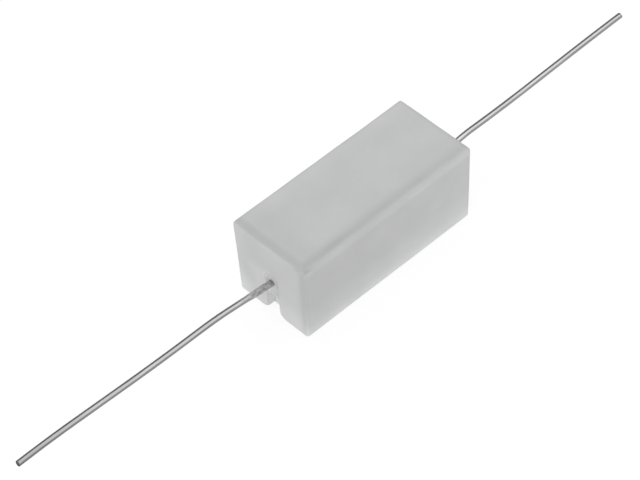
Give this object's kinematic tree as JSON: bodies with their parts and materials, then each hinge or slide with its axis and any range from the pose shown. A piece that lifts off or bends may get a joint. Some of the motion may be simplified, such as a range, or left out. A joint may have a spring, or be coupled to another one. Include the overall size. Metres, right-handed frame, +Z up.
{
  "type": "axial resistor",
  "caption": "Cement-filled wirewound power resistor: a blank white ceramic block, open below, with a straight tinned wire lead leaving through a slot in each end.",
  "frame": {"origin": "centre of the case's open underside, on the plane that its rim stands on", "axes": "+X along the leads, +Y across the case, +Z up from the rim to the crown"},
  "size_m": [0.0783, 0.0094, 0.0095],
  "materials": {
    "case_ceramic": "satin",
    "filler_cement": "matte",
    "core_ceramic": "matte",
    "resistance_alloy": "satin",
    "cap_metal": "satin",
    "tinned_wire": "bright"
  },
  "bodies": {
    "root": {"ceramic_case": "case_ceramic", "cement_fill": "filler_cement", "core_rod": "core_ceramic", "resistance_wire": "resistance_alloy", "left_cap": "cap_metal", "right_cap": "cap_metal", "left_lead": "tinned_wire", "right_lead": "tinned_wire"}
  },
  "joints": []
}
